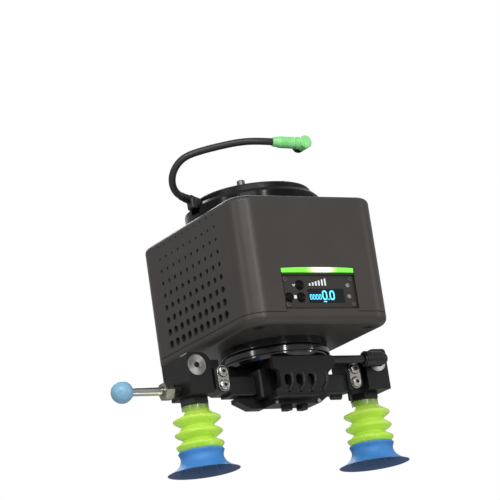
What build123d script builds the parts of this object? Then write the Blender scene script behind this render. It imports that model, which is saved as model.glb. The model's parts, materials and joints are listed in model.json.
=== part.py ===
from build123d import *
import math
import os

# Robot vacuum gripper. Millimetres. The origin is the centre of the face that
# meets the robot's flange, +Z points up at the robot, +X to the right along the
# front, and the front, with the control panel, faces -Y.

os.makedirs("parts", exist_ok=True)

# ---------------------------------------------------------------- dimensions
# robot interface, after ISO 9409-1-50-4-M6
bolt_circle_d = 50.0
bolt_r = 3.0
bolt_shank_r = 2.6
bolt_hole_r = 3.3
bolt_head_r = 5.0
bolt_head_h = 6.0
bolt_seat_z = -5.5
bolt_reach = 8.0
spigot_r = 15.75
spigot_h = 5.5
adapter_r = 44.0
adapter_h = 12.0
ring_r = 50.0
ring_top_z = -5.5

# main box
box_x = 120.0
box_y = 145.0
box_top_z = -20.0
seam_z = -105.8
seam_gap = 0.2
box_bottom_z = -113.8
box_corner_r = 16.0
wall = 2.5
front_y = -box_y / 2

# running fits and small gaps
fit = 0.04
press = 0.02
gap = 0.3

# vents
vent_columns = 10
vent_rows = 9
vent_pitch_y = 9.0
vent_pitch_z = 9.2
vent_top_z = -25.6
vent_small_r = 0.75
vent_large_r = 3.0

# control panel
panel_x = 60.0
panel_top_z = -79.0
panel_bottom_z = -103.0
panel_face_y = -71.2
tongue_top_z = -103.3
key_r = 2.6
key_places = {
    "key_upper": (-16.0, -86.3),
    "key_lower_left": (-26.0, -95.3),
    "key_lower_right": (-16.0, -95.3),
}
lens_places = [(24.2, -86.6), (24.2, -94.7)]
screen_x = (-10.0, 20.4)
screen_z = (-99.3, -89.1)
led_z = (-77.3, -74.3)
led_bulge = 2.4

# drive line, along Y
shaft_z = -66.0
shaft_r = 4.0
bearing_r = 11.0
bearing_w = 7.0
bulkhead_y = (-10.0, -3.0)
motor_r = 27.0
motor_end_y = 47.0
pump_r = 30.0
pump_bore_r = 24.0
pump_offset = 2.0
pump_rotor_r = 21.0
vane_count = 4

# fasteners
cover_post_x = 46.0
cover_post_y = 58.0
panel_screw_x = 27.4
panel_screw_z = (-81.7, -100.2)
lock_x = 55.7
lock_screw_z = (-134.2, -143.9)
lock_plate_y = (-17.2, -16.0)

# head
base_r = 39.0
base_bore_r = 30.0
base_bottom_z = -119.8
collar_r = 40.0
collar_bottom_z = -128.0
stem_r = 12.0
stem_neck_r = 7.9
arm_y = (-14.0, 0.0)
arm_z = (-151.0, -137.0)
arm_root_x = 29.0
pivot_x = 76.3
pivot_z = -129.0
pin_r = 4.0
disc_r = 7.5
yoke_x = (65.3, 84.3)
yoke_y = (-18.6, 18.0)
yoke_z = (-149.9, -120.0)
cup_x = 72.0
hose_r = 2.9
hose_y = -25.0
hose_z = -129.0
lever_z = -143.5
lever_r = 3.0
ball_x = -128.8
ball_r = 8.0
clip_face_y = -36.0
clip_depth = 4.5
clip_slot_pitch = 9.6
plug_x = (-7, 6)
plug_y = -17

# suction cups
bellows_top_z = -155.0
bellows_bottom_z = -186.8
fold_r = 17.2
valley_r = 11.3
cup_wall = 1.7
lip_r = 26.0
lip_bottom_z = -202.3

# cable
cable_d = 5.2
cable_points = [
    (-53.0, -2.0, -2.2),
    (-62.0, -3.2, -0.1),
    (-68.8, -7.0, 4.9),
    (-71.9, -12.7, 11.5),
    (-70.6, -19.0, 18.1),
    (-65.2, -24.4, 23.2),
    (-55.0, -29.1, 25.9),
    (-44.5, -37.0, 27.0),
    (-33.0, -46.0, 27.5),
    (-21.7, -52.2, 26.8),
    (-9.4, -54.2, 25.8),
]
connector_length = 24.0


# ------------------------------------------------------------------- helpers
def save(piece, node):
    """Label a finished piece and write it."""
    piece.part.label = node
    export_step(piece.part, f"parts/{node}.step")


def block(x, y, z):
    """Place of the lowest corner and the size of a box given by its limits."""
    return (x[0], y[0], z[0]), (x[1] - x[0], y[1] - y[0], z[1] - z[0])


def add_box(x, y, z, mode=Mode.ADD):
    """A box between two limits on each axis, in the part being built."""
    corner, size = block(x, y, z)
    with Locations(corner):
        Box(*size, align=(Align.MIN, Align.MIN, Align.MIN), mode=mode)


def rod_z(x, y, z, r, mode=Mode.ADD):
    """An upright cylinder between two heights."""
    with Locations((x, y, z[0])):
        Cylinder(r, z[1] - z[0], align=(Align.CENTER, Align.CENTER, Align.MIN), mode=mode)


def rod_y(x, z, y, r, mode=Mode.ADD):
    """A cylinder along Y between two limits."""
    with Locations(Location((x, y[0], z), (-90, 0, 0))):
        Cylinder(r, y[1] - y[0], align=(Align.CENTER, Align.CENTER, Align.MIN), mode=mode)


def rod_x(y, z, x, r, mode=Mode.ADD):
    """A cylinder along X between two limits."""
    with Locations(Location((x[0], y, z), (0, 90, 0))):
        Cylinder(r, x[1] - x[0], align=(Align.CENTER, Align.CENTER, Align.MIN), mode=mode)


def turned(points, x=0.0, y=0.0):
    """A ring or plug turned about an upright axis from (radius, height) points."""
    with BuildPart() as piece:
        with BuildSketch(Plane.XZ):
            with BuildLine():
                Polyline(*points, close=True)
            make_face()
        revolve(axis=Axis.Z)
    return piece.part.moved(Location((x, y, 0)))


# ----------------------------------------------------------- robot interface
def make_robot_adapter():
    with BuildPart() as robot_adapter:
        rod_z(0, 0, (-adapter_h, 0), adapter_r)
        chamfer(robot_adapter.edges().group_by(Axis.Z)[-1], 1.0)
        rod_z(0, 0, (0, spigot_h), spigot_r)
        chamfer(robot_adapter.edges().group_by(Axis.Z)[-1], 0.6)
        with Locations((0, 0, -adapter_h)):
            with PolarLocations(bolt_circle_d / 2, 4, start_angle=45):
                Cylinder(bolt_hole_r, 40, mode=Mode.SUBTRACT)
                Cylinder(
                    bolt_head_r + 0.5,
                    adapter_h + bolt_seat_z,
                    align=(Align.CENTER, Align.CENTER, Align.MIN),
                    mode=Mode.SUBTRACT,
                )
    save(robot_adapter, "robot_adapter")


def make_lock_ring():
    profile = [
        (38.3, box_top_z),
        (ring_r, box_top_z),
        (ring_r, ring_top_z - 2.6),
        (ring_r - 2.5, ring_top_z),
        (adapter_r + 0.1, ring_top_z),
        (adapter_r + 0.1, -adapter_h),
        (38.3, -adapter_h),
    ]
    with BuildPart() as lock_ring:
        add(turned(profile))
        add_box((-51, -44.4), (-7.2, 3.2), (-13, 0), mode=Mode.SUBTRACT)
        for angle in (60, 120, 300):
            with Locations(Location((0, 0, -13), (0, 0, angle))):
                with Locations(Location((ring_r - 1.4, 0, 0), (0, 90, 0))):
                    Cylinder(2.6, 4, mode=Mode.SUBTRACT)
    save(lock_ring, "lock_ring")


def make_robot_bolts():
    with BuildPart() as robot_bolts:
        standing = (Align.CENTER, Align.CENTER, Align.MIN)
        hanging = (Align.CENTER, Align.CENTER, Align.MAX)
        with PolarLocations(bolt_circle_d / 2, 4, start_angle=45):
            with Locations((0, 0, bolt_seat_z)):
                Cylinder(bolt_shank_r, -bolt_seat_z, align=standing)
                Cylinder(bolt_head_r, bolt_head_h, align=hanging)
            Cylinder(bolt_r, bolt_reach, align=standing)
        chamfer(robot_bolts.edges().group_by(Axis.Z)[-1], 0.7)
        with BuildSketch(Plane.XY.offset(bolt_seat_z - bolt_head_h)):
            with PolarLocations(bolt_circle_d / 2, 4, start_angle=45):
                RegularPolygon(2.9, 6)
        extrude(amount=3.2, mode=Mode.SUBTRACT)
    save(robot_bolts, "robot_bolts")


# --------------------------------------------------------------------- cable
def corner_radius(a, b, c):
    """The largest tangent arc at b that leaves a tenth of the shorter run."""
    before = Vector(*b) - Vector(*a)
    after = Vector(*c) - Vector(*b)
    turn = math.radians(before.get_angle(after))
    return 0.45 * min(before.length, after.length) / math.tan(turn / 2)


def make_cable():
    radii = [corner_radius(*cable_points[i : i + 3]) for i in range(len(cable_points) - 2)]
    print("cable arc radii", [round(r, 1) for r in radii])
    with BuildPart() as cable:
        with BuildLine() as route:
            FilletPolyline(*cable_points, radius=radii)
        with BuildSketch(Plane(route.line @ 0, z_dir=route.line % 0)):
            Circle(cable_d / 2)
        sweep()
    save(cable, "cable")
    length = sum(edge.length for edge in route.edges())
    print("cable length", round(length, 1))
    expected = math.pi * cable_d**2 / 4 * length
    print("cable volume over section times length", round(cable.part.volume / expected, 4))


def make_cable_gland():
    start = Vector(*cable_points[0])
    out = (Vector(*cable_points[1]) - start).normalized()
    with BuildPart() as cable_gland:
        add_box((-50, -44.6), (-6.6, 2.6), (-9.6, -1.0))
        fillet(cable_gland.edges().filter_by(Axis.X), 1.2)
        with Locations(Plane(start - out * 7, z_dir=out)):
            Cylinder(4.1, 7, align=(Align.CENTER, Align.CENTER, Align.MIN))
        with Locations(Plane(start - out * 1.0, z_dir=out)):
            Cylinder(4.6, 1.0, align=(Align.CENTER, Align.CENTER, Align.MIN))
    save(cable_gland, "cable_gland")


def make_cable_connector():
    start = Vector(*cable_points[-1])
    along = (start - Vector(*cable_points[-2])).normalized()
    end = start + along * connector_length
    upright = (Align.CENTER, Align.CENTER, Align.MIN)
    with BuildPart() as cable_connector:
        with Locations(Plane(start, z_dir=along)):
            Cone(3.3, 4.3, 5, align=upright)
        with Locations(Plane(start + along * 5, z_dir=along)):
            Cylinder(4.3, connector_length - 5, align=upright)
        with Locations(end):
            Sphere(5.2)
        rod_y(end.X, end.Z, (end.Y, end.Y + 9), 4.8)
    save(cable_connector, "cable_connector")


# -------------------------------------------------------------------- covers
def rounded_box(inset, bottom, top, mode=Mode.ADD):
    """The box's rounded outline, drawn in by an inset, between two heights."""
    with BuildSketch(Plane.XY.offset(bottom)) as outline:
        RectangleRounded(box_x - 2 * inset, box_y - 2 * inset, box_corner_r - inset)
    extrude(outline.sketch, amount=top - bottom, mode=mode)


def vent_radius(row):
    return vent_small_r + (vent_large_r - vent_small_r) * row / (vent_rows - 1)


def cut_vents():
    for row in range(vent_rows):
        z = vent_top_z - vent_pitch_z * row
        with BuildSketch(Plane.YZ.offset(-box_x / 2 - 1)) as holes:
            with Locations((0, z)):
                with GridLocations(vent_pitch_y, 1, vent_columns, 1):
                    Circle(vent_radius(row))
        extrude(holes.sketch, amount=box_x + 2, mode=Mode.SUBTRACT)


def make_upper_cover():
    with BuildPart() as upper_cover:
        rounded_box(0, seam_z + seam_gap, box_top_z)
        fillet(upper_cover.edges().group_by(Axis.Z)[-1], 4.0)
        rounded_box(wall, seam_z, box_top_z - wall, mode=Mode.SUBTRACT)
        rod_z(0, 0, (-30, -10), 38.2, mode=Mode.SUBTRACT)
        cut_vents()
        half = panel_x / 2 + 0.15
        front = (front_y - 5, front_y + 5)
        add_box((-half, half), front, (seam_z - 1, panel_top_z + 0.1), mode=Mode.SUBTRACT)
        add_box((-half, half), front, (led_z[0] - 0.1, led_z[1] + 0.1), mode=Mode.SUBTRACT)
    save(upper_cover, "upper_cover")


def screw_posts(r, bottom, top, mode=Mode.ADD):
    for x in (-cover_post_x, cover_post_x):
        for y in (-cover_post_y, cover_post_y):
            rod_z(x, y, (bottom, top), r, mode=mode)


def make_lower_cover():
    floor = 3.0
    with BuildPart() as lower_cover:
        rounded_box(0, box_bottom_z, seam_z - seam_gap)
        fillet(lower_cover.edges().group_by(Axis.Z)[0], 5.5)
        rounded_box(wall, box_bottom_z + floor, seam_z, mode=Mode.SUBTRACT)
        rod_z(0, 0, (box_bottom_z - 1, box_bottom_z + floor + 1), base_bore_r, mode=Mode.SUBTRACT)
        screw_posts(5.0, box_bottom_z + floor, seam_z - 1)
        screw_posts(2.2, box_bottom_z - 1, seam_z + 1, mode=Mode.SUBTRACT)
        screw_posts(4.0, box_bottom_z - 1, box_bottom_z + 2.6, mode=Mode.SUBTRACT)
        add_box((-panel_x / 2, panel_x / 2), (front_y, front_y + wall), (seam_z - 2, tongue_top_z))
    save(lower_cover, "lower_cover")


def make_cover_screws():
    with BuildPart() as cover_screws:
        screw_posts(2.0, box_bottom_z + 2.6, seam_z + 6)
        screw_posts(3.6, box_bottom_z + 0.2, box_bottom_z + 2.6)
        with BuildSketch(Plane.XY.offset(box_bottom_z + 0.2)):
            with GridLocations(2 * cover_post_x, 2 * cover_post_y, 2, 2):
                RegularPolygon(1.6, 6)
        extrude(amount=1.6, mode=Mode.SUBTRACT)
    save(cover_screws, "cover_screws")


def make_vent_screens():
    inner = box_x / 2 - wall
    with BuildPart() as vent_screens:
        for side in (-1, 1):
            x = sorted((side * (inner - 0.3), side * (inner - 1.0)))
            add_box(x, (-44, 44), (-103.5, -23.5))
    save(vent_screens, "vent_screens")


# ------------------------------------------------------------- control panel
def make_led_bar():
    half = panel_x / 2
    with BuildPart() as led_bar:
        with BuildSketch(Plane.XY.offset(led_z[0])):
            with BuildLine():
                ThreePointArc((-half, front_y), (0, front_y - led_bulge), (half, front_y))
                Polyline((half, front_y), (half, front_y + 4), (-half, front_y + 4), (-half, front_y))
            make_face()
        extrude(amount=led_z[1] - led_z[0])
    save(led_bar, "led_bar")


def panel_corners():
    return [(x, z) for x in (-panel_screw_x, panel_screw_x) for z in panel_screw_z]


def make_control_panel():
    flange_y = panel_face_y + 1.2
    with BuildPart() as control_panel:
        add_box((-panel_x / 2, panel_x / 2), (panel_face_y, flange_y), (panel_bottom_z, panel_top_z))
        add_box((-33, 33), (flange_y, flange_y + 2), (-104.6, -77.9))
        add_box(screen_x, (panel_face_y - 1, panel_face_y + 1.0), screen_z, mode=Mode.SUBTRACT)
        for x, z in key_places.values():
            rod_y(x, z, (-80, -60), key_r + 0.15, mode=Mode.SUBTRACT)
        for x, z in lens_places:
            rod_y(x, z, (-80, -60), 1.7, mode=Mode.SUBTRACT)
        for x, z in panel_corners():
            rod_y(x, z, (-80, -60), 1.05, mode=Mode.SUBTRACT)
            rod_y(x, z, (-80, panel_face_y + 1.0), 1.75, mode=Mode.SUBTRACT)
    save(control_panel, "control_panel")


def make_panel_screws():
    with BuildPart() as panel_screws:
        for x, z in panel_corners():
            rod_y(x, z, (panel_face_y - 0.1, panel_face_y + 1.0), 1.7)
            rod_y(x, z, (panel_face_y + 1.0, -66), 1.0)
        with BuildSketch(Plane.XZ.offset(-panel_face_y + 0.1)):
            with Locations(*panel_corners()):
                RegularPolygon(0.8, 6)
        extrude(amount=-0.8, mode=Mode.SUBTRACT)
    save(panel_screws, "panel_screws")


def make_display_glass():
    with BuildPart() as display_glass:
        x = (screen_x[0] + 0.1, screen_x[1] - 0.1)
        z = (screen_z[0] + 0.1, screen_z[1] - 0.1)
        add_box(x, (panel_face_y, panel_face_y + 1.0), z)
    save(display_glass, "display_glass")


def make_indicator_lenses():
    with BuildPart() as indicator_lenses:
        for x, z in lens_places:
            rod_y(x, z, (panel_face_y - 0.4, panel_face_y + 2.4), 1.62)
        fillet(indicator_lenses.edges().group_by(Axis.Y)[0], 0.3)
    save(indicator_lenses, "indicator_lenses")


def make_keys():
    for node, (x, z) in key_places.items():
        with BuildPart() as key:
            rod_y(x, z, (panel_face_y - 0.8, -67.9), key_r)
            fillet(key.edges().group_by(Axis.Y)[0], 0.5)
            rod_y(x, z, (-67.9, -67.1), key_r + 0.9)
        save(key, node)


# ---------------------------------------------------------- inside: drive line
def make_chassis():
    with BuildPart() as chassis:
        add_box((-44, 44), (-50, 50), (-110.6, -106.6))
        add_box((-44, 44), (-50, 50), (-26.8, -22.7))
        add_box((-44, 44), bulkhead_y, (-106.6, -26.8))
        rod_z(0, 0, (-22.7, -adapter_h), 37.6)
        rod_z(0, 0, (-40, 0), 30.0, mode=Mode.SUBTRACT)
        add_box((-17, 17), (-31, 15), (-106.6, -97.5), mode=Mode.SUBTRACT)
        seat = (bulkhead_y[0] - 1, bulkhead_y[1] + 1)
        rod_y(0, shaft_z, seat, bearing_r + press, mode=Mode.SUBTRACT)
        rod_z(0, 0, (-120, -100), stem_r + fit, mode=Mode.SUBTRACT)
    save(chassis, "chassis")


def make_motor_housing():
    with BuildPart() as motor_housing:
        rod_y(0, shaft_z, (bulkhead_y[1], motor_end_y), motor_r)
        inside = (bulkhead_y[1] - 1, motor_end_y - bearing_w)
        rod_y(0, shaft_z, inside, motor_r - wall, mode=Mode.SUBTRACT)
        rod_y(0, shaft_z, (0, motor_end_y + 1), bearing_r + press, mode=Mode.SUBTRACT)
    save(motor_housing, "motor_housing")


def make_motor_stator():
    with BuildPart() as motor_stator:
        rod_y(0, shaft_z, (1, 38), motor_r - wall - press)
        rod_y(0, shaft_z, (0, 39), 15.6, mode=Mode.SUBTRACT)
        for slot in range(12):
            angle = math.radians(30 * slot)
            x = 19.6 * math.cos(angle)
            z = shaft_z + 19.6 * math.sin(angle)
            rod_y(x, z, (0, 39), 2.4, mode=Mode.SUBTRACT)
    save(motor_stator, "motor_stator")


def make_motor_rotor():
    with BuildPart() as motor_rotor:
        rod_y(0, shaft_z, (2, 37), 15.1)
        rod_y(0, shaft_z, (1, 38), shaft_r + press, mode=Mode.SUBTRACT)
    save(motor_rotor, "motor_rotor")


def make_drive_shaft():
    with BuildPart() as drive_shaft:
        rod_y(0, shaft_z, (-43.0, 59.0), shaft_r)
        chamfer(drive_shaft.edges().group_by(Axis.Y)[-1], 0.5)
    save(drive_shaft, "drive_shaft")


def make_shaft_bearings():
    with BuildPart() as shaft_bearings:
        for start in (bulkhead_y[0], motor_end_y - bearing_w):
            end = start + bearing_w
            rod_y(0, shaft_z, (start, end), bearing_r)
            rod_y(0, shaft_z, (start, end), shaft_r + fit, mode=Mode.SUBTRACT)
            for face in ((start, start + 0.6), (end - 0.6, end)):
                rod_y(0, shaft_z, face, 8.8, mode=Mode.SUBTRACT)
                rod_y(0, shaft_z, face, 6.0)
                rod_y(0, shaft_z, face, shaft_r + fit, mode=Mode.SUBTRACT)
    save(shaft_bearings, "shaft_bearings")


def make_pump_housing():
    bore_z = shaft_z + pump_offset
    with BuildPart() as pump_housing:
        rod_y(0, shaft_z, (-40, bulkhead_y[0]), pump_r)
        rod_y(0, bore_z, (-41, bulkhead_y[0] - 4), pump_bore_r, mode=Mode.SUBTRACT)
        rod_y(0, shaft_z, (-41, bulkhead_y[0] + 1), shaft_r + gap, mode=Mode.SUBTRACT)
        rod_x(-27, -52, (26, 38), 4.5)
        rod_x(-27, -52, (22, 39), 2.5, mode=Mode.SUBTRACT)
        rod_y(0, bore_z, (-40, bulkhead_y[0] - 4), pump_bore_r, mode=Mode.SUBTRACT)
    save(pump_housing, "pump_housing")


def make_pump_cover():
    with BuildPart() as pump_cover:
        rod_y(0, shaft_z, (-46, -40), pump_r)
        chamfer(pump_cover.edges().group_by(Axis.Y)[0], 1.2)
        rod_y(0, shaft_z, (-44, -39), shaft_r + fit, mode=Mode.SUBTRACT)
        for angle in range(0, 360, 60):
            x = 27.2 * math.cos(math.radians(angle))
            z = shaft_z + 27.2 * math.sin(math.radians(angle))
            rod_y(x, z, (-47, -44.6), 1.9, mode=Mode.SUBTRACT)
    save(pump_cover, "pump_cover")


def vane_boxes(width, inner, outer, y, mode):
    for index in range(vane_count):
        turn = Location((0, 0, shaft_z), (0, 360 / vane_count * index + 20, 0))
        with Locations(turn):
            with Locations(((inner + outer) / 2, (y[0] + y[1]) / 2, 0)):
                Box(outer - inner, y[1] - y[0], width, mode=mode)


def make_pump_rotor():
    with BuildPart() as pump_rotor:
        rod_y(0, shaft_z, (-39.8, -14.2), pump_rotor_r)
        rod_y(0, shaft_z, (-41, -13), shaft_r + press, mode=Mode.SUBTRACT)
        vane_boxes(2.4, 11.0, 23.0, (-41, -13), Mode.SUBTRACT)
    save(pump_rotor, "pump_rotor")


def make_pump_vanes():
    with BuildPart() as pump_vanes:
        vane_boxes(2.2, 12.4, 21.7, (-39.7, -14.3), Mode.ADD)
    save(pump_vanes, "pump_vanes")


def make_cooling_fan():
    hub_y = (49.0, 58.0)
    blade_count = 7
    with BuildPart() as cooling_fan:
        rod_y(0, shaft_z, hub_y, 10.0)
        for index in range(blade_count):
            with Locations(Location((0, sum(hub_y) / 2, shaft_z), (0, 360 / blade_count * index, 0))):
                with Locations(Location((17, 0, 0), (38, 0, 0))):
                    Box(17, 8.5, 1.6)
        rod_y(0, shaft_z, (40, 70), shaft_r + press, mode=Mode.SUBTRACT)
    save(cooling_fan, "cooling_fan")


def make_control_board():
    with BuildPart() as control_board:
        add_box((50.5, 52.1), (-48, 48), (-101, -31))
        add_box((46.5, 50.5), (-30, -12), (-60, -42))
        add_box((47.5, 50.5), (8, 24), (-84, -72))
        for y in (-38, -28, 30, 40):
            rod_x(y, -92, (44.5, 50.5), 4.0)
    save(control_board, "control_board")


def make_valve_block():
    with BuildPart() as valve_block:
        add_box((-15, 15), (-30, 14), (-106.6, -98))
        rod_z(0, 0, (-107, -101), stem_neck_r + 0.06, mode=Mode.SUBTRACT)
        rod_z(0, 0, (-107, -104.4), 14.4, mode=Mode.SUBTRACT)
        rod_z(0, 0, (-102, -97), 3.0, mode=Mode.SUBTRACT)
        rod_z(-8, -22, (-98, -96.2), 3.4)
    save(valve_block, "valve_block")


def make_release_valve():
    with BuildPart() as release_valve:
        add_box((21, 40), (-42, -16), (-106.6, -95))
        rod_z(31, -29, (-95, -88.5), 7.5)
    save(release_valve, "release_valve")


# ------------------------------------------------------------ head: the middle
def make_swivel_base():
    """The fixed black ring under the box that the collar turns against."""
    with BuildPart() as swivel_base:
        rod_z(0, 0, (base_bottom_z, box_bottom_z), base_r)
        chamfer(swivel_base.edges().group_by(Axis.Z)[0], 0.8)
        rod_z(0, 0, (base_bottom_z - 1, box_bottom_z + 1), base_bore_r, mode=Mode.SUBTRACT)
    save(swivel_base, "swivel_base")


def make_swivel_collar():
    top = base_bottom_z - gap
    profile = [
        (stem_r + press, top),
        (collar_r - 0.8, top),
        (collar_r, top - 0.8),
        (collar_r, top - 4.4),
        (collar_r - 1.6, top - 4.9),
        (collar_r - 1.6, collar_bottom_z + 2.0),
        (collar_r - 3.6, collar_bottom_z),
        (stem_r + press, collar_bottom_z),
    ]
    with BuildPart() as swivel_collar:
        add(turned(profile))
        rod_x(hose_y, hose_z, (-5, 45), hose_r + 0.5, mode=Mode.SUBTRACT)
    save(swivel_collar, "swivel_collar")


def make_swivel_stem():
    stem = [
        (3.0, -131.0),
        (stem_r, -131.0),
        (stem_r, -106.4),
        (stem_r - 1.0, -106.4),
        (stem_r - 1.0, -105.0),
        (stem_neck_r, -105.0),
        (stem_neck_r, -101.5),
        (3.0, -101.5),
    ]
    snap_ring = [
        (stem_r - 1.0 + press, -106.3),
        (stem_r + 1.9, -106.3),
        (stem_r + 1.9, -105.1),
        (stem_r - 1.0 + press, -105.1),
    ]
    with BuildPart() as swivel_stem:
        add(turned(stem))
        add(turned(snap_ring))
    save(swivel_stem, "swivel_stem")


def make_gripper_body():
    with BuildPart() as gripper_body:
        add_box((-28, 28), (-20, 14), (-154, -134))
        fillet(gripper_body.edges().filter_by(Axis.Z), 2.0)
        rod_z(0, 0, (-134, collar_bottom_z), 20.0)
        add_box((-20, 30), (-31.5, -16), (-134, collar_bottom_z))
        add_box((-39, -15), (2.5, 12), (-139, collar_bottom_z))
        with BuildSketch(Plane.XZ.offset(9)):
            with BuildLine():
                Polyline((-22, -154), (-22, -160.5), (17, -160.5), (27, -154), close=True)
            make_face()
        extrude(amount=16)
        with BuildSketch(Plane.XZ.offset(9)) as fin:
            with BuildLine():
                Polyline((-42, -151.7), (-42, -154.5), (-31, -160), (-20, -160), (-20, -151.7), close=True)
            make_face()
        extrude(fin.sketch, amount=-9)
        slot_y = (arm_y[0] - gap, arm_y[1] + gap)
        slot_z = (arm_z[0] - gap, arm_z[1] + gap)
        add_box((-30, 30), slot_y, slot_z, mode=Mode.SUBTRACT)
        rod_x(hose_y, hose_z, (-5, 45), hose_r + 0.5, mode=Mode.SUBTRACT)
        rod_z(0, 0, (-131, -120), stem_r + press, mode=Mode.SUBTRACT)
    save(gripper_body, "gripper_body")


def make_front_clip():
    with BuildPart() as front_clip:
        with BuildSketch(Plane.XZ.offset(-clip_face_y)):
            with BuildLine():
                Polyline(
                    (-24.5, -128.4),
                    (25.5, -128.4),
                    (26.0, -136.5),
                    (20.5, -141.0),
                    (18.0, -152.0),
                    (13.5, -156.2),
                    (8.5, -157.4),
                    (-25.0, -157.4),
                    (-25.0, -152.5),
                    (-20.5, -150.0),
                    (-20.5, -139.0),
                    (-24.5, -137.0),
                    close=True,
                )
            make_face()
            with Locations((-clip_slot_pitch / 2, -145.6)):
                with GridLocations(clip_slot_pitch, 1, 3, 1):
                    SlotOverall(8.2, 5.6, rotation=90, mode=Mode.SUBTRACT)
        extrude(amount=-clip_depth)
        for index in range(4):
            rib_x = clip_slot_pitch * (index - 1.5) + 1.2
            with Locations(Location((rib_x, clip_face_y, -151.4), (0, 38, 0))):
                Cylinder(1.5, 7.0)
        add_box((-25, 7), (clip_face_y + clip_depth, -25), (-157.2, -155.4))
    save(front_clip, "front_clip")


def make_body_screws():
    with BuildPart() as body_screws:
        for x in (-19.8, 15.6):
            rod_y(x, -159.0, (-26.0, -25.0), 1.4)
    save(body_screws, "body_screws")


def make_port_plugs():
    with BuildPart() as port_plugs:
        with BuildSketch(Plane.XY.offset(-163.8)):
            with Locations(*[(x, plug_y) for x in plug_x]):
                RegularPolygon(4.7, 6)
        extrude(amount=3.3)
        chamfer(port_plugs.edges().group_by(Axis.Z)[0], 0.5)
        for x in plug_x:
            rod_z(x, plug_y, (-165, -162), 1.9, mode=Mode.SUBTRACT)
    save(port_plugs, "port_plugs")


# ----------------------------------------------------------- head: the arms
def arm_solid(tongue_y):
    """The left arm: bar, tongue inside the body, lug and the neck in the yoke."""
    with BuildPart() as arm:
        add_box((-50, -arm_root_x), arm_y, arm_z)
        fillet(arm.edges().filter_by(Axis.X), 1.2)
        add_box((-arm_root_x, 2), tongue_y, (arm_z[0] + 0.3, arm_z[1] - 0.3))
        with BuildSketch(Plane.XZ.offset(16)) as lug:
            with BuildLine():
                Polyline(
                    (-49.5, -131), (-62, -131), (-62, -146.5), (-57, -149), (-49.5, -149), close=True
                )
            make_face()
        extrude(lug.sketch, amount=-17)
        add_box((-62, -53), (-8.5, 8.5), (-140, pivot_z + 5.6))
        add_box((-pivot_x, -60), (-8.5, 8.5), (pivot_z - 5.6, pivot_z + 5.6))
        rod_y(-pivot_x, pivot_z, (-8.5, 8.5), 5.6)
        rod_y(-pivot_x, pivot_z, (-10, 10), pin_r + press, mode=Mode.SUBTRACT)
        for z in lock_screw_z:
            rod_y(-lock_x, z, (-20, -8), 2.05, mode=Mode.SUBTRACT)
    return arm


def make_arms():
    middle = sum(arm_y) / 2
    left_arm = arm_solid((arm_y[0] + 0.3, middle - 0.2))
    save(left_arm, "left_arm")
    with BuildPart() as right_arm:
        add(arm_solid((middle + 0.2, arm_y[1] - 0.3)).part.mirror(Plane.YZ))
        rod_x(-3, arm_z[0], (41.5, 49.5), 2.8)
        rod_z(55.5, -6.5, (-155.5, -148), 1.5)
    save(right_arm, "right_arm")


def make_lock_plates():
    for side, node in ((-1, "left_lock_plate"), (1, "right_lock_plate")):
        with BuildPart() as lock_plate:
            with BuildSketch(Plane.XZ.offset(-lock_plate_y[0])):
                with Locations((side * lock_x, sum(lock_screw_z) / 2)):
                    SlotOverall(19.0, 8.8, rotation=90)
            extrude(amount=lock_plate_y[0] - lock_plate_y[1])
            for z in lock_screw_z:
                rod_y(side * lock_x, z, (-18, -15), 2.05, mode=Mode.SUBTRACT)
        save(lock_plate, node)


def make_lock_screws():
    seat_y = lock_plate_y[0]
    head_y = seat_y - 2.0
    for side, node in ((-1, "left_lock_screws"), (1, "right_lock_screws")):
        with BuildPart() as lock_screws:
            for z in lock_screw_z:
                rod_y(side * lock_x, z, (head_y, seat_y), 3.7)
            fillet(lock_screws.edges().group_by(Axis.Y)[0], 1.2)
            with BuildSketch(Plane.XZ.offset(-head_y)):
                with Locations(*[(side * lock_x, z) for z in lock_screw_z]):
                    RegularPolygon(1.5, 6)
            extrude(amount=-1.2, mode=Mode.SUBTRACT)
            for z in lock_screw_z:
                rod_y(side * lock_x, z, (seat_y, -8.5), 2.0)
        save(lock_screws, node)


def make_pivot_pins():
    for side, node in ((-1, "left_pivot_pin"), (1, "right_pivot_pin")):
        x = side * pivot_x
        with BuildPart() as pivot_pin:
            rod_y(x, pivot_z, (-16.3, 16.0), pin_r)
            rod_y(x, pivot_z, (-17.9, -16.3), disc_r)
            rod_y(x, pivot_z, (16.0, 17.6), disc_r)
            with BuildSketch(Plane.XZ.offset(17.9)):
                with Locations((x, pivot_z)):
                    RegularPolygon(2.3, 6)
            extrude(amount=-2.5, mode=Mode.SUBTRACT)
        save(pivot_pin, node)


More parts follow.
